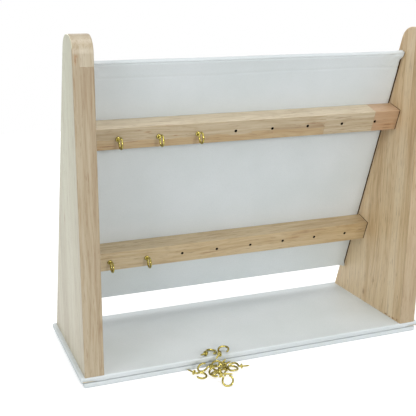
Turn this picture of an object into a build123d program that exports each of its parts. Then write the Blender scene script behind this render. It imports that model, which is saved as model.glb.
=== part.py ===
from build123d import *
import math
import os

# Jewellery display stand: two tapered wooden uprights on a thin covered base, a covered
# panel that leans forward between them, and two wooden rails with brass cup hooks.
# Millimetres. The origin is the middle of the base's underside, +Z is up and the open
# front faces -Y.

# Covered boards
cover_thickness = 0.5           # white leatherette round every board
cover_edge_radius = 1.4         # outside rounding where the cover turns an edge
hem_width = 15.0                # cover glued down on the hidden face

# Base: two covered boards glued together, hem to hem
base_width = 360.0
base_depth = 128.0
base_board_thickness = 4.2      # upper board without its cover
foot_board_thickness = 4.1      # lower board without its cover
foot_inset = 3.0                # the lower board stops short at each end
bare_corner_start = 2.0         # the cover's front edge is trimmed short near each end
bare_corner_length = 13.0
bare_corner_height = 2.2

# Uprights: square front edge, sloping back edge, rounded top
upright_thickness = 18.0
upright_height = 298.0
upright_foot_depth = 124.5
upright_top_depth = 31.0        # where the straight edges would meet the top
upright_top_radius = 15.0
upright_edge_radius = 0.8
upright_end_margin = 4.0        # from the base's end to the outer face
upright_front_margin = 0.5      # from the base's front edge to the front face

# Panel: a covered board parallel to the uprights' back edges
panel_board_thickness = 4.0
panel_length = 256.0
panel_foot_height = 34.0        # from the base to its lower edge, up the lean
panel_back_inset = 4.8          # from the uprights' back edges to its back face
panel_side_gap = 2.4

# Rails: they butt against the uprights and lie on the panel
rail_depth = 17.6
rail_height = 21.0
rail_edge_radius = 0.6
upper_rail_top = 236.8          # both measured up the lean from the base
lower_rail_top = 103.7

# Pilot holes along the middle of each rail's front face
hole_count = 8
hole_pitch = 37.5
hole_depth = 11.0

# Brass cup hook
hook_wire_radius = 0.95
hook_ring_radius = 4.8          # to the wire's centre line
hook_bend_radius = 1.5          # small bend between neck and ring
hook_neck_length = 1.0          # straight wire in front of the collar
hook_tip_angle = 105.0          # where the ring stops, from straight out, over the top
hook_collar_radius = 2.4
hook_collar_thickness = 1.5
hook_collar_bevel = 0.5
hook_thread_radius = 0.95
hook_thread_length = 7.0        # point included
hook_point_length = 1.6
hook_point_radius = 0.15
hook_running_gap = 0.05         # between thread and pilot hole
hook_seat_gap = 0.02            # the collar just clears the rail, so the hook can be turned
upper_hooks = 3                 # hooks fitted from the left end
lower_hooks = 2

# Hidden fixings
fixing_gap = 0.05               # between a fixing and its hole
dowel_radius = 3.0
dowel_length = 24.0
dowel_end_bevel = 0.8
base_screw_radius = 1.75
base_screw_head_radius = 3.5
base_screw_length = 30.0
base_screws_per_upright = 2
base_screw_spacing = 70.0
panel_screw_radius = 1.4
panel_screw_head_radius = 2.8
panel_screw_head_height = 1.6
panel_screw_length = 15.0       # under the head
panel_screw_offset = 3          # hole pitches from the middle screw to the outer ones

# Derived places
foot_layer = foot_board_thickness + 2 * cover_thickness
base_layer = base_board_thickness + 2 * cover_thickness
base_top = foot_layer + base_layer
upright_outer = base_width / 2 - upright_end_margin
upright_inner = upright_outer - upright_thickness
upright_front = upright_front_margin - base_depth / 2
upright_back = upright_front + upright_foot_depth
lean_angle = math.degrees(math.atan2(upright_foot_depth - upright_top_depth, upright_height))
panel_layer = panel_board_thickness + 2 * cover_thickness
panel_width = 2 * (upright_inner - panel_side_gap)
panel_front = panel_back_inset + panel_layer
rail_front = panel_front + rail_depth
hook_hole_radius = hook_thread_radius + hook_running_gap
hook_bend_start = hook_collar_thickness + hook_neck_length
hook_reach = hook_ring_radius + hook_bend_radius
hook_ring_centre = hook_bend_start + math.sqrt(hook_reach ** 2 - hook_bend_radius ** 2)

# The lean frame: its origin is the uprights' lower back edge, Z runs up the slope and
# -Y is the way the panel and the rails face.
lean_frame = Pos(0, upright_back, base_top) * Rot(lean_angle, 0, 0)


def block(x_range, y_range, z_range):
    """Plain box between two limits on each axis."""
    corner = (x_range[0], y_range[0], z_range[0])
    size = (x_range[1] - x_range[0], y_range[1] - y_range[0], z_range[1] - z_range[0])
    return Pos(*corner) * Box(*size, align=(Align.MIN, Align.MIN, Align.MIN))


def covered_board(width, length, board_thickness):
    """A board and its cover: finished face up, hems underneath, resting on z = 0."""
    layer = board_thickness + 2 * cover_thickness
    outside = Pos(0, 0, layer / 2) * Box(width, length, layer)
    outside = fillet(outside.edges(), cover_edge_radius)
    inner_width = width - 2 * cover_thickness
    inner_length = length - 2 * cover_thickness
    board = Pos(0, 0, layer / 2) * Box(inner_width, inner_length, board_thickness)
    board = fillet(board.edges(), cover_edge_radius - cover_thickness)
    window = Box(width - 2 * hem_width, length - 2 * hem_width, 3 * cover_thickness)
    return board, outside - board - window


def wood_screw_head(screw_radius, head_radius):
    """Countersunk head, flat face at z = 0, shank side up."""
    return Cone(head_radius, screw_radius, head_radius - screw_radius,
                align=(Align.CENTER, Align.CENTER, Align.MIN))


def screw_shank(radius, length, point_length):
    """Plain shank from z = 0 up to a point; its thread is too fine to model."""
    body = Cylinder(radius, length - point_length,
                    align=(Align.CENTER, Align.CENTER, Align.MIN))
    point = Cone(radius, radius / 5, point_length,
                 align=(Align.CENTER, Align.CENTER, Align.MIN))
    return body + Pos(0, 0, length - point_length) * point


def base_screw_places():
    """Where the screws enter the base, on its underside."""
    middle = (upright_front + upright_back) / 2
    across = upright_outer - upright_thickness / 2
    first = middle - base_screw_spacing * (base_screws_per_upright - 1) / 2
    return [Pos(side * across, first + step * base_screw_spacing, foot_layer + cover_thickness)
            for side in (-1, 1) for step in range(base_screws_per_upright)]


def base_screw():
    """Countersunk screw pointing up, its head flush with the bare underside of the board."""
    shank = screw_shank(base_screw_radius, base_screw_length, 2 * base_screw_radius)
    return wood_screw_head(base_screw_radius, base_screw_head_radius) + shank


def base_screw_hole():
    """The hole that fits a base screw with a little room."""
    head = wood_screw_head(base_screw_radius + fixing_gap, base_screw_head_radius + fixing_gap)
    shank = Cylinder(base_screw_radius + fixing_gap, base_screw_length + fixing_gap,
                     align=(Align.CENTER, Align.CENTER, Align.MIN))
    return head + shank


def rail_middle(rail_top):
    """A rail's cross-section centre in the lean frame, as (y, z)."""
    return -(panel_front + rail_depth / 2), rail_top - rail_height / 2


def dowel_places():
    """Middles of the dowels at both ends of both rails."""
    places = []
    for rail_top in (upper_rail_top, lower_rail_top):
        y, z = rail_middle(rail_top)
        for side in (-1, 1):
            places.append(lean_frame * Pos(side * upright_inner, y, z) * Rot(0, 90, 0))
    return places


def dowel_hole():
    """Bore for a dowel, half in the rail and half in the upright."""
    return Cylinder(dowel_radius + fixing_gap, dowel_length + 2 * fixing_gap)


def panel_screw_places(rail_top):
    """Heads of the three screws behind one rail, pointing forward."""
    z = rail_top - rail_height / 2
    step = panel_screw_offset * hole_pitch
    return [lean_frame * Pos(x, -panel_back_inset, z) * Rot(90, 0, 0)
            for x in (-step, 0, step)]


def panel_screw():
    """Round-headed screw; z = 0 is the underside of its head."""
    shank = screw_shank(panel_screw_radius, panel_screw_length, 2 * panel_screw_radius)
    head = Cylinder(panel_screw_head_radius, panel_screw_head_height,
                    align=(Align.CENTER, Align.CENTER, Align.MAX))
    rim = head.faces().sort_by(Axis.Z)[0].edges()
    return fillet(rim, 0.6 * panel_screw_head_height) + shank


def panel_screw_hole():
    """Bore for a panel screw through the panel and into the rail."""
    return Cylinder(panel_screw_radius + fixing_gap, panel_screw_length + fixing_gap,
                    align=(Align.CENTER, Align.CENTER, Align.MIN))


def hook_places(rail_top):
    """The pilot holes of one rail, from left to right, on its front face."""
    first = -hole_pitch * (hole_count - 1) / 2
    z = rail_top - rail_height / 2
    return [lean_frame * Pos(first + number * hole_pitch, -rail_front, z)
            for number in range(hole_count)]


def pilot_hole():
    """Blind hole for a hook's thread; y = 0 is the rail's front face."""
    return Rot(-90, 0, 0) * Cylinder(hook_hole_radius, hole_depth,
                                     align=(Align.CENTER, Align.CENTER, Align.MIN))


def upright(side):
    """One tapered side; side is -1 for the left one and 1 for the right one."""
    top = base_top + upright_height
    with BuildSketch(Plane.YZ) as outline:
        with BuildLine():
            Polyline((upright_front, base_top), (upright_back, base_top),
                     (upright_front + upright_top_depth, top), (upright_front, top), close=True)
        make_face()
    slab = Pos(-upright_thickness / 2, 0, 0) * extrude(outline.sketch, upright_thickness,
                                                       dir=(1, 0, 0))
    slab = fillet(slab.edges().filter_by(Axis.X).group_by(Axis.Z)[-1], upright_top_radius)
    rims = slab.faces().filter_by(Axis.X).edges().filter_by(
        lambda edge: edge.center().Z > base_top + upright_edge_radius)
    slab = fillet(rims, upright_edge_radius)
    slab = Pos(side * (upright_outer - upright_thickness / 2), 0, 0) * slab
    for place in dowel_places():
        slab -= place * dowel_hole()
    for place in base_screw_places():
        slab -= place * base_screw_hole()
    return slab


def rail(rail_top):
    """One rail with its pilot holes, dowel holes and screw holes."""
    bar = block((-upright_inner, upright_inner), (-rail_front, -panel_front),
                (rail_top - rail_height, rail_top))
    bar = lean_frame * fillet(bar.edges().filter_by(Axis.X), rail_edge_radius)
    for place in hook_places(rail_top):
        bar -= place * pilot_hole()
    for place in dowel_places():
        bar -= place * dowel_hole()
    for place in panel_screw_places(rail_top):
        bar -= place * panel_screw_hole()
    return bar


def panel():
    """The leaning board and its cover, bored for the screws."""
    seat = Pos(0, -panel_back_inset, panel_foot_height + panel_length / 2)
    parts = []
    for piece in covered_board(panel_width, panel_length, panel_board_thickness):
        piece = lean_frame * seat * Rot(90, 0, 0) * piece
        for rail_top in (upper_rail_top, lower_rail_top):
            for place in panel_screw_places(rail_top):
                piece -= place * panel_screw_hole()
        parts.append(piece)
    return parts


def base_upper_layer():
    """The upper board and its cover, bored for the screws."""
    board, cover = covered_board(base_width, base_depth, base_board_thickness)
    board = Pos(0, 0, foot_layer) * board
    cover = Pos(0, 0, foot_layer) * cover
    front = -base_depth / 2
    for side in (-1, 1):
        start = side * (base_width / 2 - bare_corner_start)
        end = start - side * bare_corner_length
        cover -= block(sorted((start, end)), (front - cover_thickness, front + cover_thickness),
                       (foot_layer - cover_thickness, foot_layer + bare_corner_height))
    for place in base_screw_places():
        board -= place * base_screw_hole()
        cover -= place * base_screw_hole()
    return board, cover


def base_lower_layer():
    """The lower board and its cover, finished face down."""
    turned = Pos(0, 0, foot_layer) * Rot(180, 0, 0)
    width = base_width - 2 * foot_inset
    return [turned * piece for piece in covered_board(width, base_depth, foot_board_thickness)]


def hook():
    """Cup hook: y = 0 is the collar's seat, -Y points out of the rail and Z is up."""
    rise = math.degrees(math.asin(hook_bend_radius / hook_reach))
    outward = Rot(90, 0, 0)

    bevel_foot = hook_collar_thickness - hook_collar_bevel
    with BuildSketch(Plane.XZ) as half_collar:
        with BuildLine():
            Polyline((0, 0), (hook_collar_radius, 0), (hook_collar_radius, bevel_foot),
                     (hook_collar_radius - hook_collar_bevel, hook_collar_thickness),
                     (0, hook_collar_thickness), close=True)
        make_face()
    collar = revolve(half_collar.sketch, Axis.Z)
    neck = Pos(0, 0, hook_collar_thickness) * Cylinder(
        hook_wire_radius, hook_neck_length, align=(Align.CENTER, Align.CENTER, Align.MIN))

    section = Pos(0, -hook_bend_start, 0) * outward * Circle(hook_wire_radius)
    bend_axis = Axis((0, -hook_bend_start, -hook_bend_radius), (1, 0, 0))
    bend = revolve(section, bend_axis, 90 - rise)

    ring_axis = Axis((0, -hook_ring_centre, 0), (-1, 0, 0))
    ring_start = 180 + rise
    ring_turn = 360 + hook_tip_angle - ring_start
    section = Pos(0, hook_ring_radius, 0) * Circle(hook_wire_radius)
    section = Pos(0, -hook_ring_centre, 0) * Rot(-rise, 0, 0) * section
    ring = revolve(section, ring_axis, ring_turn)
    tip = Pos(0, -hook_ring_radius, 0) * Rot(180, 0, 0) * Sphere(
        hook_wire_radius, arc_size1=0, arc_size2=90)
    tip = Pos(0, -hook_ring_centre, 0) * Rot(-hook_tip_angle, 0, 0) * tip

    point = Cone(hook_thread_radius, hook_point_radius, hook_point_length,
                 align=(Align.CENTER, Align.CENTER, Align.MIN))
    plain = hook_thread_length - hook_point_length
    thread = Cylinder(hook_thread_radius, plain, align=(Align.CENTER, Align.CENTER, Align.MIN))
    thread = Rot(-90, 0, 0) * (thread + Pos(0, 0, plain) * point)
    return outward * (collar + neck) + bend + ring + tip + thread


# Loose hooks, heaped by hand at the base's front edge. Each line gives the ring centre's
# place across and behind that edge, the way the ring points (degrees from +X), the tip
# of the ring end down, the roll about the thread, and the height that the hook rests on.
heap_middle = -46.0
on_base = base_top + 0.3
loose_hooks = (
    (-24.3, -15.2, -53.0, 6.5, 180.0, 0.0),
    (-20.2, -8.4, 182.0, -4.0, 75.0, 0.0),
    (-5.4, 6.7, 26.0, 6.5, 180.0, on_base),
    (5.5, 2.6, 38.0, -13.0, 180.0, on_base - 0.4),
    (6.3, -18.7, 146.0, 12.0, -20.0, 3.6),
    (-7.8, -37.7, -60.0, 20.0, 45.0, 0.0),
    (-13.2, -18.8, 190.0, 33.0, 0.0, 2.6),
    (-7.0, -11.9, 80.0, -16.0, 0.0, 3.1),
    (-9.9, -17.3, 147.0, 6.5, 0.0, 0.0),
    (-3.5, -6.8, 196.0, 6.5, 180.0, 0.0),
    (8.7, -12.3, 14.0, 9.0, 180.0, 0.0),
)


def loose_hook(place):
    """One loose hook, laid flat, turned, and set down with its lowest point on its support."""
    across, out, heading, pitch, roll, support = place
    flat = Rot(roll, 0, 0) * Rot(0, 0, 90) * Rot(0, 90, 0) * Pos(0, hook_ring_centre, 0) * hook()
    turned = Rot(0, 0, heading) * Rot(0, pitch, 0) * flat
    lowest = turned.bounding_box().min.Z
    return Pos(heap_middle + across, out - base_depth / 2, support - lowest) * turned


def build():
    """Every node of the stand under its own name."""
    nodes = {}
    nodes["base_top_board"], nodes["base_top_cover"] = base_upper_layer()
    nodes["base_bottom_board"], nodes["base_bottom_cover"] = base_lower_layer()
    nodes["left_upright"] = upright(-1)
    nodes["right_upright"] = upright(1)
    nodes["panel_board"], nodes["panel_cover"] = panel()
    nodes["upper_rail"] = rail(upper_rail_top)
    nodes["lower_rail"] = rail(lower_rail_top)

    nodes["base_screws"] = Compound(children=[place * base_screw() for place in base_screw_places()])
    bevelled = Cylinder(dowel_radius, dowel_length)
    bevelled = chamfer(bevelled.edges().filter_by(GeomType.CIRCLE), dowel_end_bevel)
    nodes["rail_dowels"] = Compound(children=[place * bevelled for place in dowel_places()])
    screws = panel_screw_places(upper_rail_top) + panel_screw_places(lower_rail_top)
    nodes["panel_screws"] = Compound(children=[place * panel_screw() for place in screws])

    for row, rail_top, count in (("upper", upper_rail_top, upper_hooks),
                                 ("lower", lower_rail_top, lower_hooks)):
        for number, place in enumerate(hook_places(rail_top)[:count], start=1):
            nodes[f"{row}_hook_{number}"] = place * Pos(0, -hook_seat_gap, 0) * hook()
    for number, place in enumerate(loose_hooks, start=1):
        nodes[f"loose_hook_{number:02d}"] = loose_hook(place)
    return nodes


os.makedirs("parts", exist_ok=True)
for name, solid in build().items():
    export_step(solid, f"parts/{name}.step")
    box = solid.bounding_box()
    print(f"{name}: {len(solid.solids())} solid(s), {solid.volume:.1f} mm3, "
          f"x {box.min.X:.1f}..{box.max.X:.1f}, y {box.min.Y:.1f}..{box.max.Y:.1f}, "
          f"z {box.min.Z:.1f}..{box.max.Z:.1f}")
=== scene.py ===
import math
import bmesh
import bpy
from mathutils import Matrix, Vector


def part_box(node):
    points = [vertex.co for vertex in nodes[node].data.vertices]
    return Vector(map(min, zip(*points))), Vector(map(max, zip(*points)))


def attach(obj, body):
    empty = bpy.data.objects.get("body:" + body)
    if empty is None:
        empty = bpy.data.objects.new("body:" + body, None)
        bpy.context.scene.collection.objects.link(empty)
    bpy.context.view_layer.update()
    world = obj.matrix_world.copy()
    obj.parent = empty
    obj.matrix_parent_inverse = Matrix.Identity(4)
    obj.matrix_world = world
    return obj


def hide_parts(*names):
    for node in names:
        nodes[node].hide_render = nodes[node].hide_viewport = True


# Jewellery display stand: wooden uprights and rails, leatherette boards, brass cup hooks.
# The dictionaries are in millimetres and degrees, and their colours are 0-255 as on screen.

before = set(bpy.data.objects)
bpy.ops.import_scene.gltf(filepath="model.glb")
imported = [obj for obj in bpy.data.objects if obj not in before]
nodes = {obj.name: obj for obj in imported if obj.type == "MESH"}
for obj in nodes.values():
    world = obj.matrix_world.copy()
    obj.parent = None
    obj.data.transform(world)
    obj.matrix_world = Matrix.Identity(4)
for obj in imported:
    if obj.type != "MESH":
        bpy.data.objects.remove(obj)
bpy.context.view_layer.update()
print("frame loaded,", len(nodes), "nodes")

mm = 0.001


def screenColour(red, green, blue):
    return tuple((c / 255 / 12.92 if c <= 10 else ((c / 255 + 0.055) / 1.055) ** 2.4)
                 for c in (red, green, blue)) + (1.0,)


def addObject(name, data):
    made = bpy.data.objects.new(name, data)
    bpy.context.scene.collection.objects.link(made)
    return made


# camera, at the photograph's viewing angle

cameraPlace = {
    "position": (-305.27, -647.26, 332.98),
    "azimuth": -19.486,
    "elevation": 16.212,
    "roll": -0.383,
    "focalPixels": 739.93,
    "axisPixel": (165.53, 216.27),
    "imageSize": 416,
    "sensor": 36.0,
}


def makeCamera():
    azimuth, elevation, roll = (math.radians(cameraPlace[k])
                                for k in ("azimuth", "elevation", "roll"))
    back = Vector((math.sin(azimuth) * math.cos(elevation),
                   -math.cos(azimuth) * math.cos(elevation), math.sin(elevation)))
    right = Vector((math.cos(azimuth), math.sin(azimuth), 0))
    up = back.cross(right)
    right, up = (math.cos(roll) * right + math.sin(roll) * up,
                 math.cos(roll) * up - math.sin(roll) * right)
    turn = Matrix((right, up, back)).transposed().to_4x4()
    data = bpy.data.cameras.new("photoCamera")
    size = cameraPlace["imageSize"]
    data.sensor_width = cameraPlace["sensor"]
    data.lens = cameraPlace["focalPixels"] / size * cameraPlace["sensor"]
    data.shift_x = (size / 2 - cameraPlace["axisPixel"][0]) / size
    data.shift_y = (cameraPlace["axisPixel"][1] - size / 2) / size
    data.clip_start, data.clip_end = 0.02, 60
    camera = addObject("photoCamera", data)
    camera.matrix_world = Matrix.Translation(Vector(cameraPlace["position"]) * mm) @ turn
    bpy.context.scene.camera = camera


makeCamera()
print("camera placed")


# node helpers

def put(tree, kind, inputs=None, **settings):
    node = tree.nodes.new(kind)
    for name, value in settings.items():
        setattr(node, name, value)
    for name, value in (inputs or {}).items():
        if isinstance(value, bpy.types.NodeSocket):
            tree.links.new(value, node.inputs[name])
        else:
            node.inputs[name].default_value = value
    return node


def maths(tree, operation, *values):
    return put(tree, "ShaderNodeMath", dict(enumerate(values)), operation=operation).outputs[0]


def vectors(tree, operation, *values):
    return put(tree, "ShaderNodeVectorMath", dict(enumerate(values)), operation=operation)


def mixColour(tree, factor, first, second):
    # the mix node's sockets 6, 7 and output 2 are its colours
    node = put(tree, "ShaderNodeMix", {0: factor, 6: first, 7: second}, data_type="RGBA")
    return node.outputs[2]


def noise(tree, vector, scale, detail=2.0, roughness=0.5, distortion=0.0):
    node = put(tree, "ShaderNodeTexNoise",
               {"Vector": vector, "Scale": scale, "Detail": detail,
                "Roughness": roughness, "Distortion": distortion})
    return node.outputs["Fac"]


def spread(tree, value, low, high, toLow=0.0, toHigh=1.0):
    node = put(tree, "ShaderNodeMapRange", {0: value, 1: low, 2: high, 3: toLow, 4: toHigh})
    return node.outputs[0]


def stretched(tree, vector, scale):
    return vectors(tree, "MULTIPLY", vector, scale).outputs[0]


def moved(tree, vector, shift):
    return vectors(tree, "ADD", vector, shift).outputs[0]


def joined(tree, *values):
    return put(tree, "ShaderNodeCombineXYZ", dict(enumerate(values))).outputs[0]


def clearTree(owner):
    owner.use_nodes = True
    owner.node_tree.nodes.clear()
    return owner.node_tree


def newMaterial(name):
    material = bpy.data.materials.new(name)
    tree = clearTree(material)
    shader = put(tree, "ShaderNodeBsdfPrincipled")
    put(tree, "ShaderNodeOutputMaterial", {0: shader.outputs[0]})
    return material, tree, shader


def twoTone(tree, value, look):
    return mixColour(tree, spread(tree, value, 0.3, 0.7), screenColour(*look["pale"]),
                     screenColour(*look["deep"]))


def objectPlace(tree):
    # object coordinates in millimetres
    coords = put(tree, "ShaderNodeTexCoord").outputs["Object"]
    place = put(tree, "ShaderNodeMapping", {"Vector": coords, "Scale": (1000, 1000, 1000)})
    return place.outputs[0]


def finish(tree, shader, colour, roughness, height, distance, strength):
    # the bump's distance is in metres
    bump = put(tree, "ShaderNodeBump", {"Strength": strength, "Distance": distance,
                                        "Height": height})
    tree.links.new(colour, shader.inputs["Base Color"])
    tree.links.new(roughness, shader.inputs["Roughness"])
    tree.links.new(bump.outputs[0], shader.inputs["Normal"])


def boxMask(tree, axes, limits):
    # 1 inside a box; a limit of None leaves that axis open
    mask = None
    for axis, limit in zip(axes, limits):
        if limit is None:
            continue
        inside = maths(tree, "COMPARE", axis, (limit[0] + limit[1]) / 2,
                       abs(limit[1] - limit[0]) / 2)
        mask = inside if mask is None else maths(tree, "MULTIPLY", mask, inside)
    return mask


# wood: clear sealed pine boards, edge glued and butt jointed

lean = math.atan2(93.5, 298.0)
leanFoot = (61.0, 10.3)         # the lean frame's origin, as (y, z)

railLook = {
    "front": 27.4,
    "height": 21.0,
    "tops": {"upper": 236.8, "lower": 103.7},
    "hooks": {"upper": 3, "lower": 2},
    "pitch": 37.5,
    "holes": 8,
    "seatGap": 0.02,
}

# Each patch is a box (x, y, z) with a tone shift, each knot an ellipsoid with a strength,
# each tint a box with a colour and an amount. On the rails they are in the lean frame.
# fade darkens the wood along its grain. A tint's share is tintFade at the foot and top, and
# with tintDepth it grows from the third value to 1 between the first two depths.
woodLooks = {
    "left_upright": {
        "grain": "z", "seed": 3.0, "tone": 0.44, "stripes": 1.1,
        "pale": (196, 184, 160), "mid": (180, 164, 136), "deep": (152, 128, 96),
        "patches": [
            ((-169.9, -157.5), (-64, -55), (283.2, 320), -0.20),
            ((-169.9, -157.5), (-64, -60), (282.8, 283.2), 0.30),
            ((-162.3, -150), (-64, -60), (0, 282.8), 0.08),
            ((-162.5, -162.1), (-64, -60), (0, 282.8), 0.20),
            (None, (-50, -36), None, 0.06),
            (None, (-36, -8), None, -0.24),
            (None, (-8, 20), None, 0.18),
            (None, (20, 40), None, -0.22),
            (None, (40, 64), None, 0.12),
        ],
        "knots": [((-173.4, -62.8, 288.5), (0.9, 3.0, 4.2), 0.75),
                  ((-172.6, -62.8, 291.6), (1.7, 3.0, 1.6), 0.45),
                  ((-176.2, -6.0, 143.0), (3.0, 2.2, 7.0), 0.35)],
        # painted light: the outer side face is tinted pale and cool, rising towards the top and
        # the back
        "tints": [((-177, -175.3), (-62.6, 64), None, (226, 236, 211), 0.6)],
        "tintFade": (0.32, 1.0), "tintDepth": (-62.0, -22.0, 0.75),
    },
    "right_upright": {
        "grain": "z", "seed": 11.0, "tone": 0.34, "stripes": 0.75, "fade": 0.12,
        "pale": (228, 208, 174), "mid": (216, 191, 151), "deep": (184, 150, 104),
        "patches": [
            (None, (-70, -50), None, 0.14),
            (None, (-50, -38), None, -0.22),
            (None, (-20, 4), None, 0.12),
            (None, (4, 30), (0, 132), -0.10),
            (None, (30, 70), None, 0.04),
        ],
        "knots": [((157.9, -13.0, 40.0), (4.0, 1.6, 5.0), 0.5),
                  ((157.9, 3.0, 21.0), (4.0, 4.0, 6.5), 0.4),
                  ((157.9, -39.0, 11.6), (3.0, 2.2, 1.2), 0.8),
                  ((157.9, -45.5, 11.2), (3.0, 1.4, 0.9), 0.8),
                  ((157.9, -51.5, 11.8), (3.0, 2.8, 1.4), 0.7),
                  ((157.9, -58.0, 12.4), (3.0, 1.4, 1.8), 0.6)],
        # painted shade: the front face is tinted darker, most at the foot
        "tints": [(None, (-70, -62.7), None, (150, 133, 108), 0.52)],
        "tintFade": (1.2, 0.35),
    },
    "upper_rail": {
        "grain": "x", "seed": 23.0, "tone": 0.36, "stripes": 0.8,
        "pale": (208, 194, 168), "mid": (183, 165, 133), "deep": (152, 123, 86),
        "patches": [
            # painted light: the top face is made paler
            (None, None, (236.3, 240), -0.30),
            ((-160, -60), (-28, -26.8), (212, 226), 0.12),
            ((-60, 20), (-28, -26.8), (212, 224), 0.16),
            ((20, 75), (-28, -26.8), (212, 227), 0.34),
            ((75, 129.5), None, None, -0.03),
            ((129.5, 160), None, None, 0.16),
            ((129.2, 129.6), None, None, 0.30),
            ((74.8, 75.2), (-28, -26.8), (212, 227), 0.30),
        ],
        "knots": [((147.0, -27.4, 222.0), (11.0, 3.0, 1.6), 0.5),
                  ((146.0, -27.4, 218.6), (9.0, 3.0, 1.2), 0.45),
                  ((-104.0, -27.4, 231.2), (4.0, 3.0, 0.8), 0.6),
                  ((-78.0, -27.4, 226.0), (3.0, 3.0, 0.6), 0.5),
                  ((-140.0, -27.4, 219.4), (14.0, 3.0, 0.9), 0.6),
                  ((-151.0, -27.4, 217.0), (7.0, 3.0, 0.9), 0.7),
                  ((-118.0, -27.4, 222.6), (11.0, 3.0, 0.7), 0.5),
                  ((62.0, -27.4, 229.0), (16.0, 3.0, 0.7), 0.5)],
        "tints": [((129.5, 160), None, None, (186, 142, 106), 0.6),
                  ((-160, 75), (-28, -26.8), (212, 224), (186, 150, 92), 0.38)],
    },
    "lower_rail": {
        "grain": "x", "seed": 41.0, "tone": 0.38, "stripes": 0.8,
        "pale": (212, 196, 164), "mid": (194, 173, 136), "deep": (164, 134, 90),
        "fade": 0.16,
        "patches": [
            ((-170, 170), None, None, 0.02),
        ],
        "knots": [((70.0, -27.4, 96.0), (9.0, 3.0, 1.2), 0.5),
                  ((-30.0, -27.4, 90.0), (12.0, 3.0, 0.8), 0.4)],
        "tints": [((-170, 170), (-28, -26.8), None, (194, 158, 98), 0.17)],
    },
    "rail_dowels": {
        "grain": "x", "seed": 53.0, "tone": 0.30, "stripes": 0.5,
        "pale": (228, 210, 176), "mid": (214, 190, 150), "deep": (186, 156, 112),
        "patches": [(None, None, (200, 240), 0.08)], "knots": [],
    },
}


# noise in the grain: scale per millimetre across, through and along the fibres, then
# detail, roughness and distortion
grainNoise = {
    "sway": ((0.012, 0.012, 0.006), 2.0, 0.5),
    "growth": ((0.045, 0.03, 0.0035), 2.0, 0.55, 0.4),
    "fibre": ((1.5, 1.5, 0.035), 4.0, 0.62),
    "bundle": ((0.5, 0.5, 0.010), 3.0, 0.6),
    "stripes": ((0.11, 0.11, 0.0022), 2.0, 0.5),
    "streak": ((0.42, 0.42, 0.016), 3.0, 0.6),
    "pores": ((1.25, 1.25, 0.075), 2.0, 0.55),
    "cloud": ((0.05, 0.05, 0.012), 3.0, 0.5),
    "boardEnds": ((0.035, 0.2, 0.25), 3.0, 0.6),
}

grainLook = {
    "jump": 173.0,              # how far the grain moves from board to board, for a tone of 1
    "seedStep": (19, 7, 0),
    "swayReach": 14.0,
    "ringCount": 95.0,
    "ringSharpness": 2.2,
    "streakRange": (0.56, 0.74),
    "poreRange": (0.59, 0.70),
    "weights": {"rings": 0.17, "fibre": 0.60, "bundle": 0.75, "cloud": 0.40},
    "noiseMiddle": 0.48,
    "marks": (0.45, 0.50),      # streaks and pores
    "railMarks": (0.60, 0.62),
    "boardEndReach": 14.0,
    "fadeLength": 150,
    "tintHeight": 300.0,
    "knotRaggedness": 0.8,
    "bump": {"fibre": 0.7, "rings": 0.3, "pores": 0.5},
}

woodStains = {
    "streak": (150, 114, 72),
    "pore": (132, 98, 62),
    "knotHalo": (176, 122, 66),
    "knotCore": (96, 66, 38),
    # the next three are painted shade: the slot beside the panel, the butted rail ends, the
    # holes
    "slotShade": (62, 40, 24),
    "railEnd": (50, 33, 20),
    "holeShade": (18, 11, 7),
}

woodGloss = {
    "roughness": (0.60, 0.46),
    "specular": 0.45,
    "coat": 0.55,
    "dowelCoat": 0.8,
    "coatRoughness": 0.36,
}

# places without gloss, with painted shade: the slot between upright and panel is coloured dark
# for the shade in it, as are the rails' butted ends and the insides of their drilled holes
shadedMattPlaces = {
    "slotDepth": (-7.8, -4.0),
    "slotLength": (33, 289),
    "slotInner": 158.3,
    "slotShadeAmount": 0.9,
    "railEnd": 157.2,
    "railEndAmount": 0.92,
    "holeDepth": -15.0,
    "holeEdge": (1.6, 1.25),
}


def leanPlace(tree, place):
    # the same point in the lean frame
    fromFoot = vectors(tree, "SUBTRACT", place, (0, *leanFoot)).outputs[0]
    turned = put(tree, "ShaderNodeMapping", {"Vector": fromFoot, "Rotation": (-lean, 0, 0)})
    return turned.outputs[0]


def grain(tree, place, part):
    scale, *settings = grainNoise[part]
    return noise(tree, stretched(tree, place, scale), 1.0, *settings)


def stained(tree, colour, mask, stain, amount):
    return mixColour(tree, maths(tree, "MULTIPLY", mask, amount), colour,
                     screenColour(*woodStains[stain]))


def boardTones(tree, patches, axes, unevenHeight):
    # boards of the lamination; a patch with a depth of its own has uneven edges
    x, y, z = axes
    shift = None
    for *limits, tone in patches:
        height = unevenHeight if limits[1] else z
        part = maths(tree, "MULTIPLY", boxMask(tree, (x, y, height), limits), tone)
        shift = part if shift is None else maths(tree, "ADD", shift, part)
    return shift


def grainPlace(tree, look, axes, shift):
    # fibres along the board's length, moved on from board to board, with a slow wander
    x, y, z = axes
    place = joined(tree, y, x, z) if look["grain"] == "z" else joined(tree, z, y, x)
    jump = maths(tree, "MULTIPLY", shift, grainLook["jump"])
    place = moved(tree, place, joined(tree, jump, jump, jump))
    place = moved(tree, place, [look["seed"] * step for step in grainLook["seedStep"]])
    sway = maths(tree, "MULTIPLY", grain(tree, place, "sway"), grainLook["swayReach"])
    return moved(tree, place, joined(tree, sway))


def growthRings(tree, place):
    growth = maths(tree, "MULTIPLY", grain(tree, place, "growth"), grainLook["ringCount"])
    rings = spread(tree, maths(tree, "SINE", growth), -1.0, 1.0)
    return maths(tree, "POWER", rings, grainLook["ringSharpness"])


def toneColours(tree, tone, look):
    ramp = put(tree, "ShaderNodeValToRGB", {0: tone})
    stops = ramp.color_ramp.elements
    stops[0].position, stops[0].color = 0.0, screenColour(*look["pale"])
    stops[1].position, stops[1].color = 1.0, screenColour(*look["deep"])
    stops.new(0.5).color = screenColour(*look["mid"])
    return ramp.outputs[0]


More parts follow.
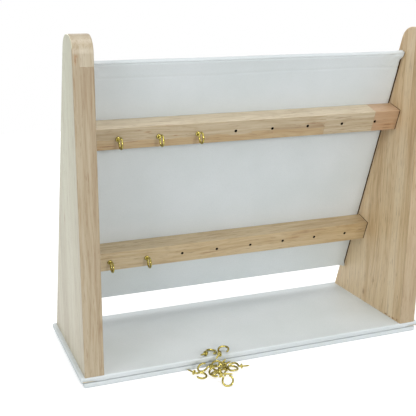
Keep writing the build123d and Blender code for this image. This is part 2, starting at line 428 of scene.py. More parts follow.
def tinted(tree, colour, look, axes):
    y, z = axes[1:]
    for *limits, tint, amount in look.get("tints", ()):
        mask = boxMask(tree, axes, limits)
        if "tintFade" in look:
            fade = spread(tree, z, 0.0, grainLook["tintHeight"], *look["tintFade"])
            mask = maths(tree, "MULTIPLY", mask, fade)
        if "tintDepth" in look:
            near, far, least = look["tintDepth"]
            mask = maths(tree, "MULTIPLY", mask, spread(tree, y, near, far, least, 1.0))
        colour = mixColour(tree, maths(tree, "MULTIPLY", mask, amount), colour,
                           screenColour(*tint))
    return colour


def knotted(tree, colour, knots, boardPlace, place):
    # an orange halo round a dark core, ragged along the grain
    ragged = maths(tree, "MULTIPLY", noise(tree, place, 0.9, 2.0), grainLook["knotRaggedness"])
    for centre, size, strength in knots:
        away = vectors(tree, "SUBTRACT", boardPlace, centre).outputs[0]
        away = vectors(tree, "DIVIDE", away, size).outputs[0]
        away = vectors(tree, "LENGTH", away).outputs["Value"]
        away = maths(tree, "ADD", away, ragged)
        colour = stained(tree, colour, spread(tree, away, 1.7, 0.8), "knotHalo",
                         strength * 0.7)
        colour = stained(tree, colour, spread(tree, away, 1.05, 0.6), "knotCore", strength)
    return colour


def slotShadeMask(tree, objectSpot, x):
    depth, length = put(tree, "ShaderNodeSeparateXYZ",
                        {0: leanPlace(tree, objectSpot)}).outputs[1:]
    slotShade = boxMask(tree, (depth, length), (shadedMattPlaces["slotDepth"], shadedMattPlaces["slotLength"]))
    inner = maths(tree, "LESS_THAN", maths(tree, "ABSOLUTE", x), shadedMattPlaces["slotInner"])
    return maths(tree, "MULTIPLY", slotShade, inner)


def holeMask(tree, axes, row):
    x, y, z = axes
    pitch = railLook["pitch"]
    aside = maths(tree, "SUBTRACT", maths(tree, "FLOORED_MODULO", x, pitch), pitch / 2)
    up = maths(tree, "SUBTRACT", z, railLook["tops"][row] - railLook["height"] / 2)
    away = maths(tree, "SQRT", maths(tree, "ADD", maths(tree, "MULTIPLY", aside, aside),
                                     maths(tree, "MULTIPLY", up, up)))
    ahead = maths(tree, "LESS_THAN", y, shadedMattPlaces["holeDepth"])
    return maths(tree, "MULTIPLY", spread(tree, away, *shadedMattPlaces["holeEdge"]), ahead)


def woodMaterial(name, look):
    material, tree, shader = newMaterial(name + "_wood")
    isRail = name.endswith("rail")
    objectSpot = objectPlace(tree)
    boardPlace = leanPlace(tree, objectSpot) if isRail else objectSpot
    x, y, z = put(tree, "ShaderNodeSeparateXYZ", {0: boardPlace}).outputs
    unevenHeight = z
    if isRail:
        # boards of a rail's lamination end in a ragged line
        ragged = maths(tree, "SUBTRACT", grain(tree, boardPlace, "boardEnds"), 0.5)
        ragged = maths(tree, "MULTIPLY", ragged, grainLook["boardEndReach"])
        unevenHeight = maths(tree, "ADD", z, ragged)
    shift = boardTones(tree, look["patches"], (x, y, z), unevenHeight)
    place = grainPlace(tree, look, (x, y, z), shift)

    # growth rings, fibres in bundles, wide stripes, dark streaks and short pores
    values = {part: grain(tree, place, part)
              for part in ("fibre", "bundle", "cloud", "stripes")}
    values["rings"] = growthRings(tree, place)
    streaks = spread(tree, grain(tree, place, "streak"), *grainLook["streakRange"])
    pores = spread(tree, grain(tree, place, "pores"), *grainLook["poreRange"])
    tone = maths(tree, "ADD", shift, look["tone"])
    if "fade" in look:
        along = z if look["grain"] == "z" else x
        tone = maths(tree, "ADD", tone, maths(tree, "MULTIPLY", along,
                                              look["fade"] / grainLook["fadeLength"]))
    for part, weight in {**grainLook["weights"], "stripes": look["stripes"]}.items():
        excess = maths(tree, "SUBTRACT", values[part], grainLook["noiseMiddle"])
        tone = maths(tree, "ADD", tone, maths(tree, "MULTIPLY", excess, weight))
    colour = tinted(tree, toneColours(tree, tone, look), look, (x, y, unevenHeight))
    streakAmount, poreAmount = grainLook["railMarks" if isRail else "marks"]
    colour = stained(tree, colour, streaks, "streak", streakAmount)
    colour = stained(tree, colour, pores, "pore", poreAmount)
    colour = knotted(tree, colour, look["knots"], boardPlace, place)

    shadedMatt = None
    # painted shade: the uprights' slot beside the panel is coloured dark, and loses its gloss
    if name.endswith("upright"):
        shadedMatt = slotShadeMask(tree, objectSpot, x)
        colour = stained(tree, colour, shadedMatt, "slotShade", shadedMattPlaces["slotShadeAmount"])
    if isRail:
        # painted shade: the rails' butted ends are coloured dark, and lose their gloss
        shadedEnds = maths(tree, "GREATER_THAN", maths(tree, "ABSOLUTE", x), shadedMattPlaces["railEnd"])
        # painted shade: the drilled holes are coloured near black inside, and lose their gloss
        holes = holeMask(tree, (x, y, z), name.split("_")[0])
        colour = stained(tree, colour, shadedEnds, "railEnd", shadedMattPlaces["railEndAmount"])
        colour = stained(tree, colour, holes, "holeShade", 1.0)
        shadedMatt = maths(tree, "MAXIMUM", shadedEnds, holes)

    bump = grainLook["bump"]
    height = maths(tree, "ADD", maths(tree, "MULTIPLY", values["fibre"], bump["fibre"]),
                   maths(tree, "MULTIPLY", values["rings"], bump["rings"]))
    height = maths(tree, "SUBTRACT", height, maths(tree, "MULTIPLY", pores, bump["pores"]))
    roughness = spread(tree, values["fibre"], 0.2, 0.8, *woodGloss["roughness"])
    finish(tree, shader, colour, roughness, height, distance=0.00008, strength=0.5)
    shader.inputs["Coat Roughness"].default_value = woodGloss["coatRoughness"]
    if shadedMatt is None:
        shader.inputs["Coat Weight"].default_value = woodGloss["dowelCoat"]
        return material
    gloss = maths(tree, "SUBTRACT", 1.0, shadedMatt)
    for socket, amount in (("Coat Weight", woodGloss["coat"]),
                           ("Specular IOR Level", woodGloss["specular"])):
        shader.inputs[socket].default_value = amount
        tree.links.new(maths(tree, "MULTIPLY", gloss, amount), shader.inputs[socket])
    return material


# raw fibre board inside the covers

coreLook = {
    "pale": (236, 227, 203),
    "deep": (214, 198, 164),
    "chip": (150, 118, 78),
    "stain": (206, 184, 148),
    "chipScale": (0.9, 0.9, 2.4),   # per millimetre
    "roughness": (0.95, 0.8),
}


def coreMaterial():
    look = coreLook
    material, tree, shader = newMaterial("rawBoard")
    place = objectPlace(tree)
    chips = noise(tree, stretched(tree, place, look["chipScale"]), 1.0, 4.0, 0.7)
    specks = put(tree, "ShaderNodeTexVoronoi", {"Vector": place, "Scale": 0.7})
    cloud = noise(tree, place, 0.04, 2.0)
    flecks = spread(tree, specks.outputs["Distance"], 0.22, 0.05, 0, 0.5)
    colour = mixColour(tree, flecks, twoTone(tree, chips, look), screenColour(*look["chip"]))
    colour = mixColour(tree, spread(tree, cloud, 0.3, 0.7, 0, 0.25), colour,
                       screenColour(*look["stain"]))
    finish(tree, shader, colour, spread(tree, chips, 0.3, 0.7, *look["roughness"]), chips,
           distance=0.00015, strength=0.6)
    return material


# leatherette: white sheet with a pebbled grain

baseJoint = 5.1                 # height at which the two base boards meet

leatheretteLook = {
    "light": (221, 227, 229),
    "shade": (215, 222, 223),
    "crease": (196, 203, 205),
    "rubbed": (206, 208, 206),
    # painted shade in the groove between the base boards
    "jointShade": (158, 164, 167),
    "pebble": 1.15,             # cells per millimetre
    "specular": 0.42,
    "sheen": 0.10,
    "sheenRoughness": 0.5,
}


def leatheretteMaterial():
    look = leatheretteLook
    material, tree, shader = newMaterial("whiteLeatherette")
    place = objectPlace(tree)
    heightUp = put(tree, "ShaderNodeSeparateXYZ", {0: place}).outputs[2]
    wobble = noise(tree, place, 0.7, 2.0)
    warped = moved(tree, place, joined(tree, wobble, wobble, wobble))
    cells = put(tree, "ShaderNodeTexVoronoi", {"Vector": warped, "Scale": look["pebble"]},
                feature="DISTANCE_TO_EDGE").outputs["Distance"]
    pebbles = spread(tree, cells, 0.0, 0.28)
    fine = noise(tree, place, 3.1, 3.0, 0.6)
    cloud = noise(tree, place, 0.018, 3.0, 0.55)
    rub = noise(tree, place, 0.11, 4.0, 0.65)
    colour = mixColour(tree, spread(tree, cloud, 0.35, 0.65), screenColour(*look["light"]),
                       screenColour(*look["shade"]))
    colour = mixColour(tree, spread(tree, pebbles, 0.5, 0.0, 0.0, 0.35), colour,
                       screenColour(*look["crease"]))
    colour = mixColour(tree, spread(tree, rub, 0.66, 0.78, 0.0, 0.18), colour,
                       screenColour(*look["rubbed"]))
    # painted shade: the groove where the two base boards meet is coloured grey
    fromJoint = maths(tree, "ABSOLUTE", maths(tree, "SUBTRACT", heightUp, baseJoint))
    jointShade = spread(tree, fromJoint, 0.8, 0.2)
    colour = mixColour(tree, maths(tree, "MULTIPLY", jointShade, 0.6), colour,
                       screenColour(*look["jointShade"]))
    roughness = maths(tree, "ADD", spread(tree, pebbles, 0.0, 1.0, 0.56, 0.42),
                      spread(tree, rub, 0.3, 0.7, -0.04, 0.05))
    height = maths(tree, "ADD", pebbles, maths(tree, "MULTIPLY", fine, 0.35))
    finish(tree, shader, colour, roughness, height, distance=0.00005, strength=0.45)
    shader.inputs["Specular IOR Level"].default_value = look["specular"]
    shader.inputs["Sheen Weight"].default_value = look["sheen"]
    shader.inputs["Sheen Roughness"].default_value = look["sheenRoughness"]
    return material


# metals

brassLook = {
    "pale": (202, 191, 118),
    "deep": (178, 164, 80),
    # the dark spots are partly tarnish, partly painted dark reflection
    "tarnishAndDarkReflection": (92, 74, 26),
    "tarnishAndDarkReflectionAmount": 0.66,
    "roughness": (0.11, 0.18),
}

steelLook = {
    "pale": (196, 198, 200),
    "deep": (168, 168, 166),
    "roughness": (0.28, 0.44),
}


def brassMaterial():
    look = brassLook
    material, tree, shader = newMaterial("polishedBrass")
    place = objectPlace(tree)
    cloud = noise(tree, place, 0.35, 3.0, 0.6)
    fine = noise(tree, place, 4.0, 3.0, 0.7)
    spots = noise(tree, place, 0.8, 3.0, 0.6)
    # dark olive spots: partly tarnish, partly painted dark reflection
    tarnishAndDarkReflection = spread(tree, spots, 0.46, 0.62, 0.0, look["tarnishAndDarkReflectionAmount"])
    colour = mixColour(tree, tarnishAndDarkReflection, twoTone(tree, cloud, look),
                       screenColour(*look["tarnishAndDarkReflection"]))
    roughness = maths(tree, "ADD", spread(tree, fine, 0.3, 0.7, *look["roughness"]),
                      spread(tree, spots, 0.6, 0.8, 0.0, 0.12))
    finish(tree, shader, colour, roughness, fine, distance=0.00001, strength=0.3)
    shader.inputs["Metallic"].default_value = 1.0
    return material


def steelMaterial():
    look = steelLook
    material, tree, shader = newMaterial("zincSteel")
    place = objectPlace(tree)
    cloud = noise(tree, place, 0.5, 3.0, 0.6)
    fine = noise(tree, place, 3.0, 4.0, 0.7)
    roughness = spread(tree, fine, 0.3, 0.7, *look["roughness"])
    finish(tree, shader, twoTone(tree, cloud, look), roughness, fine, distance=0.00002,
           strength=0.4)
    shader.inputs["Metallic"].default_value = 1.0
    return material


coreBoard, leatherette = coreMaterial(), leatheretteMaterial()
brass, steel = brassMaterial(), steelMaterial()


def dress(name, material):
    node = nodes[name]
    node.data.materials.clear()
    node.data.materials.append(material)


for woodName, woodLook in woodLooks.items():
    dress(woodName, woodMaterial(woodName, woodLook))
for boardName in ("base_top_board", "base_bottom_board", "panel_board"):
    dress(boardName, coreBoard)
dress("base_screws", steel)
print("wood, board and metal finishes made")


# mesh helpers

def leanFrame():
    return Matrix.Translation((0, *leanFoot)) @ Matrix.Rotation(lean, 4, "X")


def cut(bm, point, normal, within=None):
    if within is None:
        geometry = bm.verts[:] + bm.edges[:] + bm.faces[:]
    else:
        # dict.fromkeys drops doubles and keeps their order, so that each run is the same
        faces = [f for f in bm.faces if within(f.calc_center_median(), f.normal)]
        around = dict.fromkeys(part for f in faces for part in (*f.verts, *f.edges))
        geometry = [*around, *faces]
    bmesh.ops.bisect_plane(bm, geom=geometry, plane_co=point, plane_no=normal, dist=1e-5)


def removeFaces(bm, test):
    faces = [f for f in bm.faces if test(f.calc_center_median(), f.normal)]
    bmesh.ops.delete(bm, geom=faces, context="FACES")


def meshFrom(bm, name):
    mesh = bpy.data.meshes.new(name)
    bm.to_mesh(mesh)
    bm.free()
    return mesh


def makePiece(bm, name, material, body, sharp):
    # the mesh is in millimetres, in the frame's place; the object stays at the origin
    bmesh.ops.scale(bm, vec=(mm, mm, mm), verts=bm.verts[:])
    for face in bm.faces:
        face.smooth = True
    for edge in bm.edges:
        if len(edge.link_faces) == 2:
            edge.smooth = edge.calc_face_angle(0) < math.radians(sharp)
    mesh = meshFrom(bm, name)
    mesh.materials.append(material)
    piece = addObject(name, mesh)
    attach(piece, body)
    return piece


# covers: one sheet stretched over each board, hems glued down on its hidden face

coverLook = {
    "radius": 1.4,
    "segments": 5,
    "hem": 15.0,
    "thickness": 0.45,
    "mitre": 0.16,              # half the slit between two hems at a corner
    "closeStep": 1.6,           # rows of cuts near the edges
    "closeRows": 12,
    "deepestFold": 0.38,
}

# The puckers are small folds that run in from each corner (side in x, side in y): their
# count, height and reach.
coverSizes = {
    "base_top_cover": {
        "piece": "baseTopCover", "board": "base_top_board",
        "width": 360.0, "length": 128.0, "layer": 5.2, "step": 7.0,
        "puckers": {(-1, -1): (9, 0.10, 7.0), (1, -1): (7, 0.12, 8.0),
                    (-1, 1): (8, 0.12, 8.0), (1, 1): (9, 0.10, 7.0)}},
    "base_bottom_cover": {
        "piece": "baseBottomCover", "board": "base_bottom_board",
        "width": 354.0, "length": 128.0, "layer": baseJoint, "step": 7.0,
        "puckers": {(-1, -1): (8, 0.12, 7.0), (1, -1): (9, 0.10, 7.0),
                    (-1, 1): (7, 0.12, 7.0), (1, 1): (8, 0.10, 7.0)}},
    "panel_cover": {
        "piece": "panelCover", "board": "panel_board",
        "width": 311.2, "length": 256.0, "layer": 5.0, "step": 5.0,
        "puckers": {(-1, -1): (7, 0.18, 9.0), (1, -1): (6, 0.22, 11.0),
                    (-1, 1): (9, 0.30, 15.0), (1, 1): (11, 0.34, 17.0)}},
}

# the top sheet is trimmed short near each end, so the bare board shows as a sliver
sliverLook = {
    "span": (165.0, 178.0),
    "depth": 2.2,
    "cutDepth": 3.0,
    "top": 3.2,
    "edge": 1.2,
    "rise": 0.9,
}

panelLook = {
    "foot": 34.0,
    "backInset": 4.8,
    "face": 1.3,                # depth of the front layer that the folds move
    "crease": 113.2,            # along the panel from its middle
    "creaseDepth": 0.20,
    "creaseWidth": 1.1,
    "creaseRows": 0.8,
    "wave": 0.05,
    "roll": (0.12, 4.2, 2.0),   # height, distance from the top edge and width
    "groove": (0.30, 2.4, 0.5),
    "edgeRows": (1.7, 2.1, 2.4, 2.7, 3.2, 3.8),
    "lumps": ((1, 2.2, 1.4), (-1, 0.7, 0.5)),   # side, push outwards and rise
    "lumpLength": 6.2,
    "flap": (2.0, 1.8, 0.9),    # push outwards, down and forwards
    "flapWidth": 3.4,
}


def coverShell(size):
    width, length, layer = size["width"], size["length"], size["layer"]
    look = coverLook
    bm = bmesh.new()
    bmesh.ops.create_cube(bm, size=1.0)
    bmesh.ops.scale(bm, vec=(width, length, layer), verts=bm.verts[:])
    bmesh.ops.translate(bm, vec=(0, 0, layer / 2), verts=bm.verts[:])
    bmesh.ops.bevel(bm, geom=bm.edges[:], offset=look["radius"], affect="EDGES",
                    segments=look["segments"], profile=0.5, material=-1)
    # rows of cuts, closer together near the corners and at the hem's inner edge
    for axis, span in ((0, width), (1, length)):
        half = span / 2 - look["radius"]
        inner = half - look["closeStep"] * look["closeRows"]
        count = int(inner / size["step"])
        places = {0.0, half - 0.001, span / 2 - look["hem"]}
        places |= {half - look["closeStep"] * (k + 1) for k in range(look["closeRows"])}
        places |= {inner * k / count for k in range(1, count)}
        if axis == 1:
            places |= set(size.get("rows", ()))
        normal = (1, 0, 0) if axis == 0 else (0, 1, 0)
        for place in sorted(places):
            for side in ((1, -1) if place else (1,)):
                cut(bm, Vector(normal) * side * place, normal)
    return bm


def openHems(bm, size):
    # opens the middle of the hidden face and slits the hem at its corners
    halfWidth, halfLength = size["width"] / 2, size["length"] / 2
    hem, slit = coverLook["hem"], coverLook["mitre"]

    def under(normal):
        return normal.z < -0.99

    removeFaces(bm, lambda p, n: under(n) and abs(p.x) < halfWidth - hem
                and abs(p.y) < halfLength - hem)
    for sx in (-1, 1):
        for sy in (-1, 1):
            corner = Vector((sx * halfWidth, sy * halfLength, 0))
            along = Vector((-sx, -sy, 0)).normalized()
            aside = Vector((-along.y, along.x, 0))

            def near(p, n):
                return (under(n) and abs(p.x) > halfWidth - hem
                        and abs(p.y) > halfLength - hem and p.x * sx > 0 and p.y * sy > 0)
            for way in (-1, 1):
                cut(bm, corner + way * slit * aside, aside, near)
            removeFaces(bm, lambda p, n: near(p, n)
                        and abs((p - corner).dot(aside)) < slit * 0.98)


def gaussian(value, width):
    return math.exp(-(value / width) ** 2)


def puckerCorners(bm, size):
    halfWidth, halfLength, layer = size["width"] / 2, size["length"] / 2, size["layer"]
    for vert in bm.verts:
        if vert.co.z < layer / 2:
            continue
        for (sx, sy), (count, amount, reach) in size["puckers"].items():
            dx, dy = halfWidth - sx * vert.co.x, halfLength - sy * vert.co.y
            away = math.hypot(dx, dy)
            if away > 3 * reach:
                continue
            angle = math.atan2(dy, dx)
            fold = math.sin(count * angle + 0.7 * sx + 0.4 * sy)
            rise = amount * fold * gaussian(away - 0.35 * reach, reach * 0.6)
            dip = amount * 0.5 * gaussian(away - 0.5 * reach, reach * 0.5)
            vert.co.z += rise * (1 - gaussian(away, 2.2)) - dip


def trimSlivers(bm, size):
    look = sliverLook
    front = -size["length"] / 2
    inner, outer = look["span"]
    for side in (-1, 1):
        for place in look["span"]:
            cut(bm, (side * place, 0, 0), (1, 0, 0),
                lambda p, n: p.y < front + look["cutDepth"])

        def sliver(p, n):
            return (p.y < front + look["depth"] and inner < side * p.x < outer
                    and p.z < look["top"])
        slope = Vector((-side * look["rise"], 0, outer - inner)).normalized()
        edge = Vector((side * inner, 0, look["edge"]))
        cut(bm, edge, slope, sliver)
        removeFaces(bm, lambda p, n: sliver(p, n) and (p - edge).dot(slope) < 0)


def shapePanelEdges(bm, size):
    halfWidth, halfLength, layer = size["width"] / 2, size["length"] / 2, size["layer"]
    look = panelLook
    rollHeight, rollPlace, rollWidth = look["roll"]
    grooveDepth, groovePlace, grooveWidth = look["groove"]
    for vert in bm.verts:
        x, y, z = vert.co
        if z > layer - look["face"]:
            # faint crease under the top edge, and the slight waves of the stretched sheet
            wander = 0.6 * math.sin(x / 41) + 0.3 * math.sin(x / 17 + 1)
            vert.co.z -= look["creaseDepth"] * gaussian(y - look["crease"] - wander,
                                                        look["creaseWidth"])
            vert.co.z += look["wave"] * math.sin(x / 29 + 0.5) * math.sin(y / 37)
            vert.co.z += rollHeight * gaussian(halfLength - y - rollPlace, rollWidth)
            vert.co.z -= grooveDepth * gaussian(halfLength - y - groovePlace, grooveWidth)
        # the top edge is a little fuller than the board under it
        vert.co.y += 0.12 * math.sin(x / 23) * gaussian(halfLength - y, 3.0)
        # gathered lumps at the upper corners, the right one the larger
        for side, push, rise in look["lumps"]:
            dx, dy = halfWidth - side * x, halfLength - y
            near = gaussian(dx, 4.5) / (1 + math.exp((dy - look["lumpLength"]) / 0.7))
            vert.co.x += side * push * near
            vert.co.y += 0.7 * rise * gaussian(dx, 4.0) * gaussian(dy, 3.0)
            if z > layer / 2:
                vert.co.z += rise * near
        # a small flap at the lower right corner
        out, down, forward = look["flap"]
        near = (gaussian(halfWidth - x, look["flapWidth"])
                * gaussian(halfLength + y, look["flapWidth"]))
        vert.co.x += out * near
        vert.co.y -= down * near
        if z > layer / 2:
            vert.co.z += forward * near


def makeCover(name, seat, trim=None, shape=None):
    size = coverSizes[name]
    bm = coverShell(size)
    openHems(bm, size)
    if trim:
        trim(bm, size)
    before = [vert.co.z for vert in bm.verts]
    puckerCorners(bm, size)
    if shape:
        shape(bm, size)
    for vert, height in zip(bm.verts, before):
        # no fold presses the sheet into the board under it
        vert.co.z = max(vert.co.z, height - coverLook["deepestFold"])
        if name == "base_bottom_cover":
            vert.co.z = min(vert.co.z, size["layer"])       # it stands flat on the floor
    bmesh.ops.transform(bm, matrix=seat, verts=bm.verts[:])
    piece = makePiece(bm, size["piece"], leatherette, "stand", sharp=50)
    wall = piece.modifiers.new("sheetThickness", "SOLIDIFY")
    wall.thickness = coverLook["thickness"] * mm
    wall.offset = -1.0
    wall.use_rim = True
    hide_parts(name)


def makeCovers():
    onJoint = Matrix.Translation((0, 0, baseJoint))
    makeCover("base_top_cover", onJoint, trim=trimSlivers)
    makeCover("base_bottom_cover", onJoint @ Matrix.Rotation(math.pi, 4, "X"))
    size, look = coverSizes["panel_cover"], panelLook
    size["rows"] = ([look["crease"] + k * look["creaseRows"] for k in range(-3, 4)]
                    + [size["length"] / 2 - k for k in look["edgeRows"]])
    seat = Matrix.Translation((0, -look["backInset"], look["foot"] + size["length"] / 2))
    seat = leanFrame() @ seat @ Matrix.Rotation(math.pi / 2, 4, "X")
    makeCover("panel_cover", seat, shape=shapePanelEdges)


makeCovers()
print("leatherette covers made")


# brass cup hook: y = 0 is the collar's seat, -Y points out of the rail and Z is up

hookLook = {
    "wire": 0.95,
    "ring": 4.8,
    "bend": 1.5,
    "bendStart": 2.5,
    "tipAngle": 105.0,
    "collar": [(0.0, 0.0), (2.15, 0.0), (2.34, -0.10), (2.4, -0.30), (2.4, -0.85),
               (2.3, -1.12), (2.06, -1.36), (1.75, -1.47), (1.25, -1.5), (0.0, -1.5)],
    "core": [(0.0, -0.1), (0.93, -0.1), (0.93, 0.35), (0.72, 0.6), (0.72, 5.3),
             (0.12, 6.96), (0.0, 7.0)],
    "threadRoot": 0.55,
    "threadCrest": 0.95,
    "threadStart": 0.72,
    "threadHalf": 0.27,
    "threadPitch": 0.85,
    "threadTurns": 5.6,
    "threadSteps": 14,
    "threadTaper": 0.955,
    "wireRoot": 1.2,
    "wireSides": 18,
    "collarSteps": 32,
    "coreSteps": 20,
    "bendSteps": 9,
    "ringSteps": 40,
    "tipSteps": (18, 36, 54, 72, 84),
}

hookReach = hookLook["ring"] + hookLook["bend"]
ringCentre = hookLook["bendStart"] + math.sqrt(hookReach ** 2 - hookLook["bend"] ** 2)


def spinProfile(bm, profile, steps):
    # (radius, y) points turned once about Y
    verts = [bm.verts.new((radius, y, 0)) for radius, y in profile]
    edges = [bm.edges.new(pair) for pair in zip(verts, verts[1:])]
    before = set(bm.verts) - set(verts)
    bmesh.ops.spin(bm, geom=verts + edges, cent=(0, 0, 0), axis=(0, 1, 0), dvec=(0, 0, 0),
                   angle=2 * math.pi, steps=steps, use_merge=True)
    made = [v for v in bm.verts if v not in before]
    bmesh.ops.remove_doubles(bm, verts=made, dist=1e-4)


def sweep(bm, edges, centre, axis, angle, steps):
    # spins the open loop on and returns the loop that it ends on
    made = bmesh.ops.spin(bm, geom=edges, cent=centre, axis=axis, dvec=(0, 0, 0),
                          angle=math.radians(angle), steps=steps)
    return [g for g in made["geom_last"] if isinstance(g, bmesh.types.BMEdge)]


def pull(bm, edges, shift, scale=1.0):
    made = bmesh.ops.extrude_edge_only(bm, edges=edges)["geom"]
    verts = [g for g in made if isinstance(g, bmesh.types.BMVert)]
    middle = sum((v.co for v in verts), Vector()) / len(verts)
    if scale != 1.0:
        bmesh.ops.scale(bm, vec=(scale,) * 3, verts=verts, space=Matrix.Translation(-middle))
    bmesh.ops.translate(bm, vec=shift, verts=verts)
    return [g for g in made if isinstance(g, bmesh.types.BMEdge)
            and all(v in verts for v in g.verts)]


def hookWire(bm):
    look = hookLook
    made = bmesh.ops.create_circle(bm, cap_ends=True, radius=look["wire"],
                                   segments=look["wireSides"],
                                   matrix=Matrix.Translation((0, -look["wireRoot"], 0))
                                   @ Matrix.Rotation(math.pi / 2, 4, "X"))
    edges = list(made["verts"][0].link_faces[0].edges)
    edges = pull(bm, edges, (0, look["wireRoot"] - look["bendStart"], 0))
    rise = math.degrees(math.asin(look["bend"] / hookReach))
    edges = sweep(bm, edges, (0, -look["bendStart"], -look["bend"]), (1, 0, 0), 90 - rise,
                  look["bendSteps"])
    turn = 180 + look["tipAngle"] - rise
    edges = sweep(bm, edges, (0, -ringCentre, 0), (-1, 0, 0), turn, look["ringSteps"])
    # rounded tip
    tip = math.radians(look["tipAngle"])
    ahead = Vector((0, math.sin(tip), math.cos(tip)))
    radius, last = 1.0, 0.0
    for degrees in look["tipSteps"]:
        angle = math.radians(degrees)
        step = look["wire"] * (math.sin(angle) - last)
        edges = pull(bm, edges, ahead * step, math.cos(angle) / radius)
        radius, last = math.cos(angle), math.sin(angle)
    bmesh.ops.contextual_create(bm, geom=edges)


def hookThread(bm):
    look = hookLook
    spinProfile(bm, look["core"], look["coreSteps"])
    root, start, half = look["threadRoot"], look["threadStart"], look["threadHalf"]
    pitch, steps, taper = look["threadPitch"], look["threadSteps"], look["threadTaper"]
    verts = [bm.verts.new((radius, start + side * half, 0))
             for radius, side in ((root, -1), (look["threadCrest"], 0), (root, 1))]
    edges = [bm.edges.new((verts[k], verts[(k + 1) % 3])) for k in range(3)]
    bmesh.ops.contextual_create(bm, geom=edges)
    total = int(look["threadTurns"] * steps)
    for left in range(total, 0, -1):
        made = bmesh.ops.spin(bm, geom=edges, cent=(0, 0, 0), axis=(0, 1, 0),
                              dvec=(0, pitch / steps, 0), angle=2 * math.pi / steps, steps=1)
        edges = [g for g in made["geom_last"] if isinstance(g, bmesh.types.BMEdge)]
        if left <= steps:
            # the last turn runs down the point
            loop = list(dict.fromkeys(v for e in edges for v in e.verts))
            bmesh.ops.scale(bm, vec=(taper, 1.0, taper), verts=loop)
    bmesh.ops.contextual_create(bm, geom=edges)


def hookTemplate():
    bm = bmesh.new()
    spinProfile(bm, hookLook["collar"], hookLook["collarSteps"])
    hookWire(bm)
    hookThread(bm)
    bmesh.ops.recalc_face_normals(bm, faces=bm.faces[:])
    return meshFrom(bm, "hookTemplate")


cupHook = hookTemplate()


def placeHook(name, place, body):
    bm = bmesh.new()
    bm.from_mesh(cupHook)
    bmesh.ops.transform(bm, matrix=place, verts=bm.verts[:])
    kind, number = name.split("_hook_")
    piece = makePiece(bm, kind + "Hook" + number, brass, body, sharp=40)
    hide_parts(name)


for row, top in railLook["tops"].items():
    for number in range(railLook["hooks"][row]):
        along = railLook["pitch"] * (number - (railLook["holes"] - 1) / 2)
        seat = Matrix.Translation((along, -railLook["front"] - railLook["seatGap"],
                                   top - railLook["height"] / 2))
        hookName = f"{row}_hook_{number + 1}"
        placeHook(hookName, leanFrame() @ seat, hookName)
print("fitted hooks made")

# Loose hooks in a heap at the base's front edge: ring centre across and out from that
# edge, heading, pitch and roll. Their height comes from the frame.
heapLook = {
    "middle": -46.0,
    "edge": -64.0,
    "hooks": [
        (-24.3, -15.2, -53.0, 6.5, 180.0),
        (-20.2, -8.4, 182.0, -4.0, 75.0),
        (-5.4, 6.7, 26.0, 6.5, 180.0),
        (5.5, 2.6, 38.0, -13.0, 180.0),
        (6.3, -18.7, 146.0, 12.0, -20.0),
        (-7.8, -37.7, -60.0, 20.0, 45.0),
        (-13.2, -18.8, 190.0, 33.0, 0.0),
        (-7.0, -11.9, 80.0, -16.0, 0.0),
        (-9.9, -17.3, 147.0, 6.5, 0.0),
        (-3.5, -6.8, 196.0, 6.5, 180.0),
        (8.7, -12.3, 14.0, 9.0, 180.0),
    ],
}

for number, (across, out, heading, pitch, roll) in enumerate(heapLook["hooks"], start=1):
    hookName = f"loose_hook_{number:02d}"
    turned = Matrix.Rotation(math.pi / 2, 4, "Z") @ Matrix.Rotation(math.pi / 2, 4, "Y")
    for degrees, axis in ((roll, "X"), (pitch, "Y"), (heading, "Z")):
        turned = Matrix.Rotation(math.radians(degrees), 4, axis) @ turned
    turned = turned @ Matrix.Translation((0, ringCentre, 0))
    lowest = min((turned @ v.co).z for v in cupHook.vertices)
    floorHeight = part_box(hookName)[0].z / mm
    spot = Matrix.Translation((heapLook["middle"] + across, heapLook["edge"] + out,
                               floorHeight - lowest))
    placeHook(hookName, spot @ turned, "loose_hooks")
bpy.data.meshes.remove(cupHook)
print("loose hooks heaped")


# panel screws: pan heads with a cross recess, seen from behind

screwLook = {
    "head": [(0.0, -1.6), (1.5, -1.58), (2.1, -1.46), (2.5, -1.22), (2.72, -0.88),
             (2.8, -0.45), (2.8, 0.0), (1.4, 0.0), (1.4, 12.2), (0.28, 15.0), (0.0, 15.0)],
    "top": -1.6,
    "steps": 40,
    "recess": (3.0, 0.7, 1.0),  # length, width and depth
    "offset": 112.5,
    "seat": 4.8,
    "turn": 0.5,                # of the first recess, and from screw to screw
    "turnStep": 1.3,
}


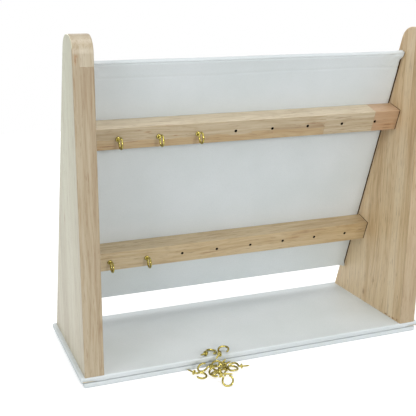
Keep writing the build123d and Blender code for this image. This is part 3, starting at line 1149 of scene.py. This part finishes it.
def makePanelScrews():
    look = screwLook
    whole = bmesh.new()
    one = bmesh.new()
    spinProfile(one, look["head"], look["steps"])
    bmesh.ops.recalc_face_normals(one, faces=one.faces[:])
    tool = bmesh.new()
    length, width, depth = look["recess"]
    for turn in (0, math.pi / 2):
        made = bmesh.ops.create_cube(tool, size=1.0)["verts"]
        bmesh.ops.scale(tool, vec=(length, 2 * depth, width), verts=made)
        bmesh.ops.rotate(tool, matrix=Matrix.Rotation(turn, 3, "Y"), verts=made)
        bmesh.ops.translate(tool, vec=(0, look["top"], 0), verts=made)
    blank = addObject("screwBlank", meshFrom(one, "screwBlank"))
    cutter = addObject("screwTool", meshFrom(tool, "screwTool"))
    boolean = blank.modifiers.new("recess", "BOOLEAN")
    boolean.operation, boolean.solver, boolean.object = "DIFFERENCE", "EXACT", cutter
    boolean.use_self = True
    screw = bpy.data.meshes.new_from_object(
        blank.evaluated_get(bpy.context.evaluated_depsgraph_get()))
    for made in (blank, cutter):
        data = made.data
        bpy.data.objects.remove(made)
        bpy.data.meshes.remove(data)
    for number, top in enumerate(railLook["tops"].values()):
        for k in (-1, 0, 1):
            seat = leanFrame() @ Matrix.Translation((k * look["offset"], -look["seat"],
                                                     top - railLook["height"] / 2))
            # the screw's +Y runs into the rail, so it is turned to face the lean frame's -Y
            seat = seat @ Matrix.Rotation(math.pi, 4, "Z")
            seat = seat @ Matrix.Rotation(look["turn"] + look["turnStep"] * k + number, 4, "Y")
            copy = screw.copy()
            copy.transform(seat)
            whole.from_mesh(copy)
            bpy.data.meshes.remove(copy)
    bpy.data.meshes.remove(screw)
    piece = makePiece(whole, "panelScrews", steel, "stand", sharp=35)
    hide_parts("panel_screws")


makePanelScrews()
print("panel screws made")


# plain pale floor, soft studio light

studio = {
    "aim": (0, 0, 0.12),
    "worldStrength": 0.42,
    "worldTint": (0.98, 0.995, 1.0, 1.0),
    "floorHalf": 1.3,
    "floorColour": (0.70, 0.70, 0.70, 1.0),
    "floorGlow": 0.58,
    "lamps": [
        {"name": "keyLamp", "place": (0.45, -3.5, 1.15), "size": 0.7, "watts": 37.0},
        {"name": "leftLamp", "place": (-3.2, -2.1, 1.9), "size": 2.4, "watts": 43.0},
        {"name": "topLamp", "place": (0.3, -0.8, 3.8), "size": 1.6, "watts": 47.0},
        {"name": "backLamp", "place": (-0.8, 3.4, 2.0), "size": 2.0, "watts": 34.0},
    ],
}


def makeFloor():
    # it glows only for the camera and in reflections, and keeps the object's shadow
    material = bpy.data.materials.new("paleFloor")
    tree = clearTree(material)
    rays = put(tree, "ShaderNodeLightPath").outputs
    diffuse = put(tree, "ShaderNodeBsdfDiffuse", {"Color": studio["floorColour"]})
    shown = maths(tree, "MAXIMUM", rays["Is Camera Ray"], rays["Is Glossy Ray"])
    glow = put(tree, "ShaderNodeEmission",
               {"Strength": maths(tree, "MULTIPLY", shown, studio["floorGlow"])})
    both = put(tree, "ShaderNodeAddShader", {0: diffuse.outputs[0], 1: glow.outputs[0]})
    put(tree, "ShaderNodeOutputMaterial", {0: both.outputs[0]})
    bm = bmesh.new()
    bmesh.ops.create_grid(bm, x_segments=4, y_segments=4, size=studio["floorHalf"])
    floor = addObject("paleFloor", meshFrom(bm, "paleFloor"))
    floor.data.materials.append(material)


def makeWorld():
    # white for the camera and in reflections, softer as a light
    world = bpy.data.worlds.new("studioWorld")
    tree = clearTree(world)
    rays = put(tree, "ShaderNodeLightPath").outputs
    shown = maths(tree, "MAXIMUM", rays["Is Glossy Ray"], rays["Is Transmission Ray"])
    shown = maths(tree, "MAXIMUM", rays["Is Camera Ray"], shown)
    soft = put(tree, "ShaderNodeBackground", {"Color": studio["worldTint"],
                                              "Strength": studio["worldStrength"]})
    white = put(tree, "ShaderNodeBackground", {"Color": (1, 1, 1, 1), "Strength": 1.0})
    both = put(tree, "ShaderNodeMixShader", {0: shown, 1: soft.outputs[0], 2: white.outputs[0]})
    put(tree, "ShaderNodeOutputWorld", {0: both.outputs[0]})
    bpy.context.scene.world = world


def makeLamps():
    aim = Vector(studio["aim"])
    for lamp in studio["lamps"]:
        data = bpy.data.lights.new(lamp["name"], "AREA")
        data.shape, data.size, data.energy = "DISK", lamp["size"], lamp["watts"]
        place = Vector(lamp["place"])
        turn = (place - aim).to_track_quat("Z", "Y").to_matrix().to_4x4()
        addObject(lamp["name"], data).matrix_world = Matrix.Translation(place) @ turn


makeFloor()
makeWorld()
makeLamps()
bpy.context.scene.view_settings.view_transform = "Standard"
print("studio made")
